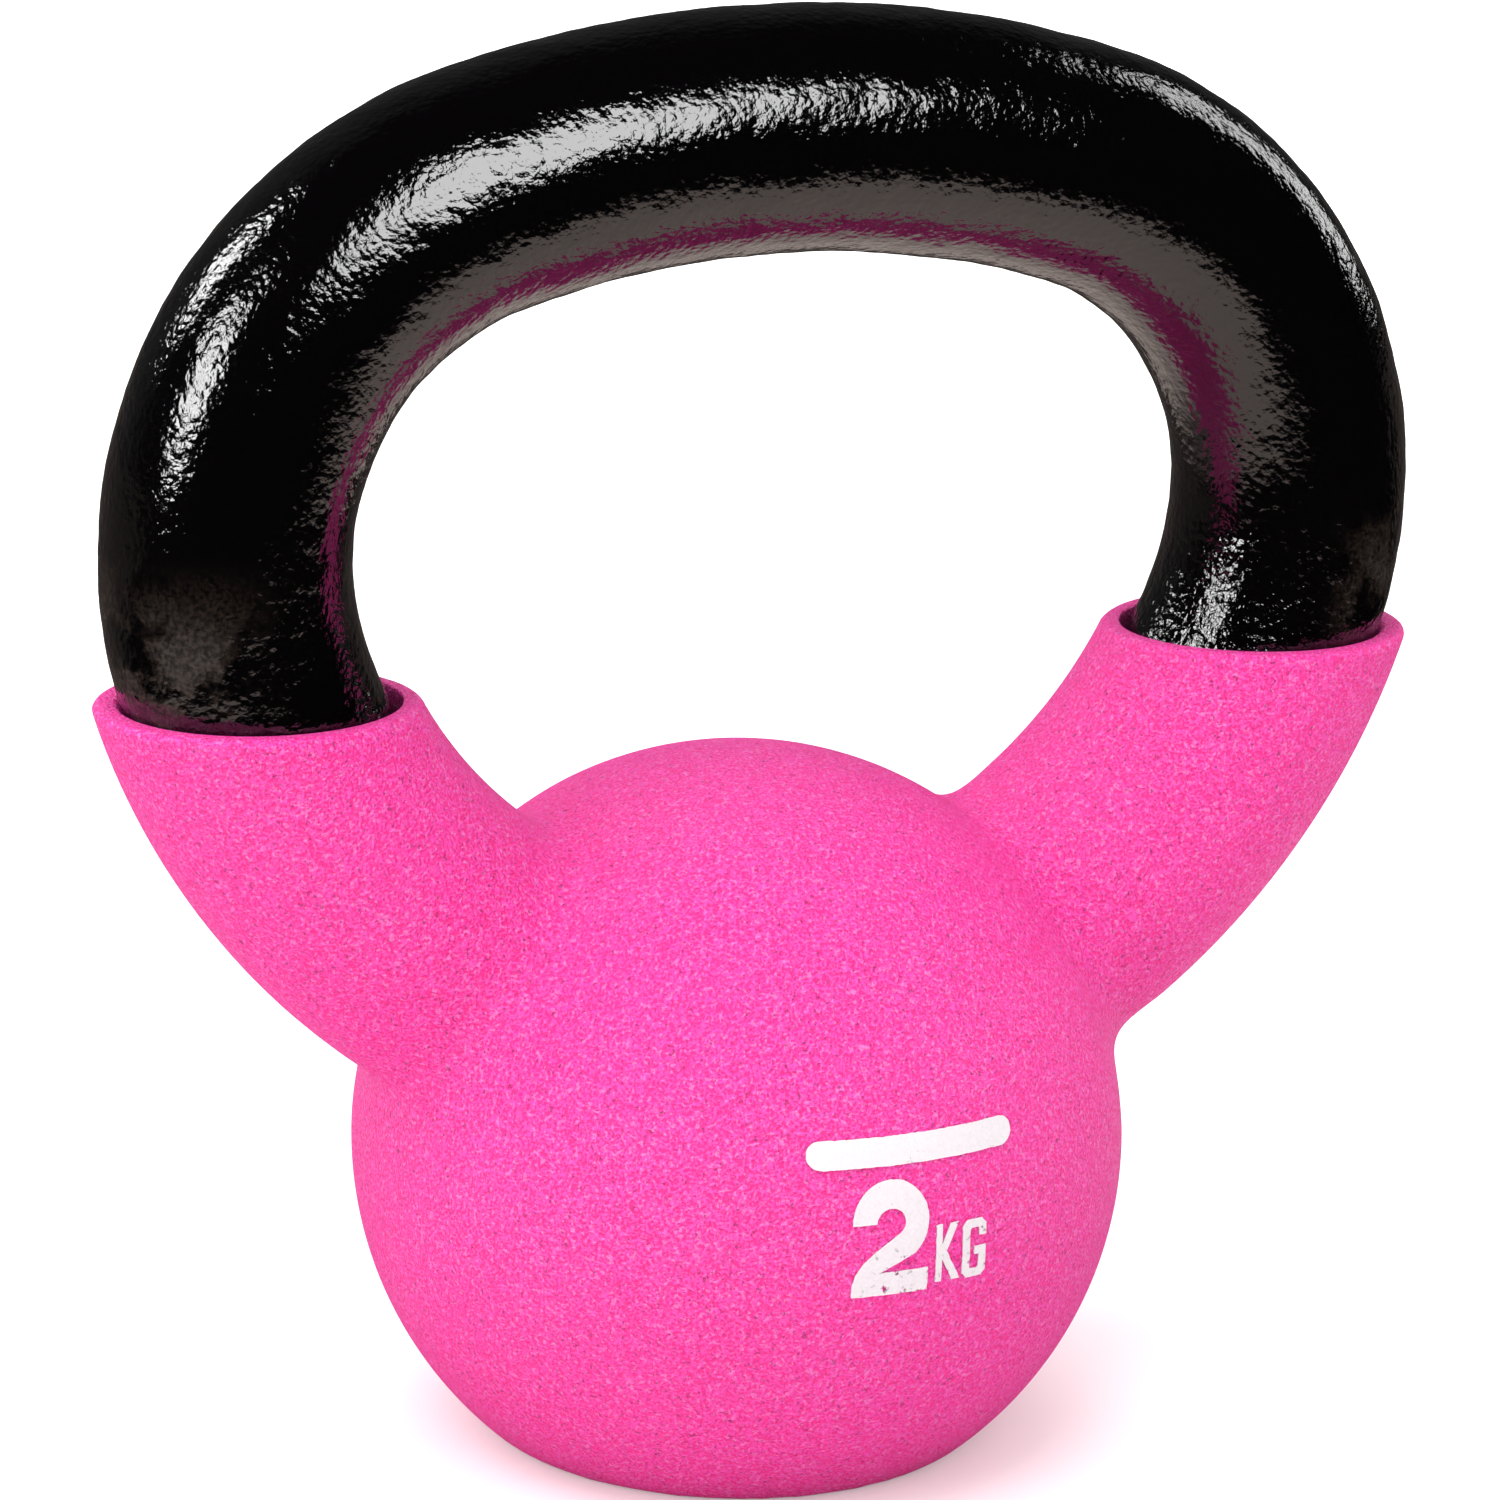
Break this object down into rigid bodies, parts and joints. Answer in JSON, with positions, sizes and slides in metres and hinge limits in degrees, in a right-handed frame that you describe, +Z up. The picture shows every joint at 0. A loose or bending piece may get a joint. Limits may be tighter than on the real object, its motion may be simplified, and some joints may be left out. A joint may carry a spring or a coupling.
{
  "type": "kettlebell",
  "caption": "Small round kettlebell: an iron casting of ball and looped handle, its ball and horns in a soft dipped jacket, with a plain weight mark.",
  "frame": {"origin": "on the floor, in the plane of the flat foot, below the middle of the handle loop", "axes": "+Z up through the handle, X across the handle loop from horn to horn, -Y out of the printed side"},
  "size_m": [0.1332, 0.0751, 0.1375],
  "materials": {
    "black_iron": "gloss",
    "pink_coat": "matte",
    "white_ink": "matte"
  },
  "bodies": {
    "root": {"iron_casting": "black_iron", "soft_jacket": "pink_coat", "print_bar": "white_ink", "print_digit_2": "white_ink", "print_letter_k": "white_ink", "print_letter_g": "white_ink"}
  },
  "joints": []
}
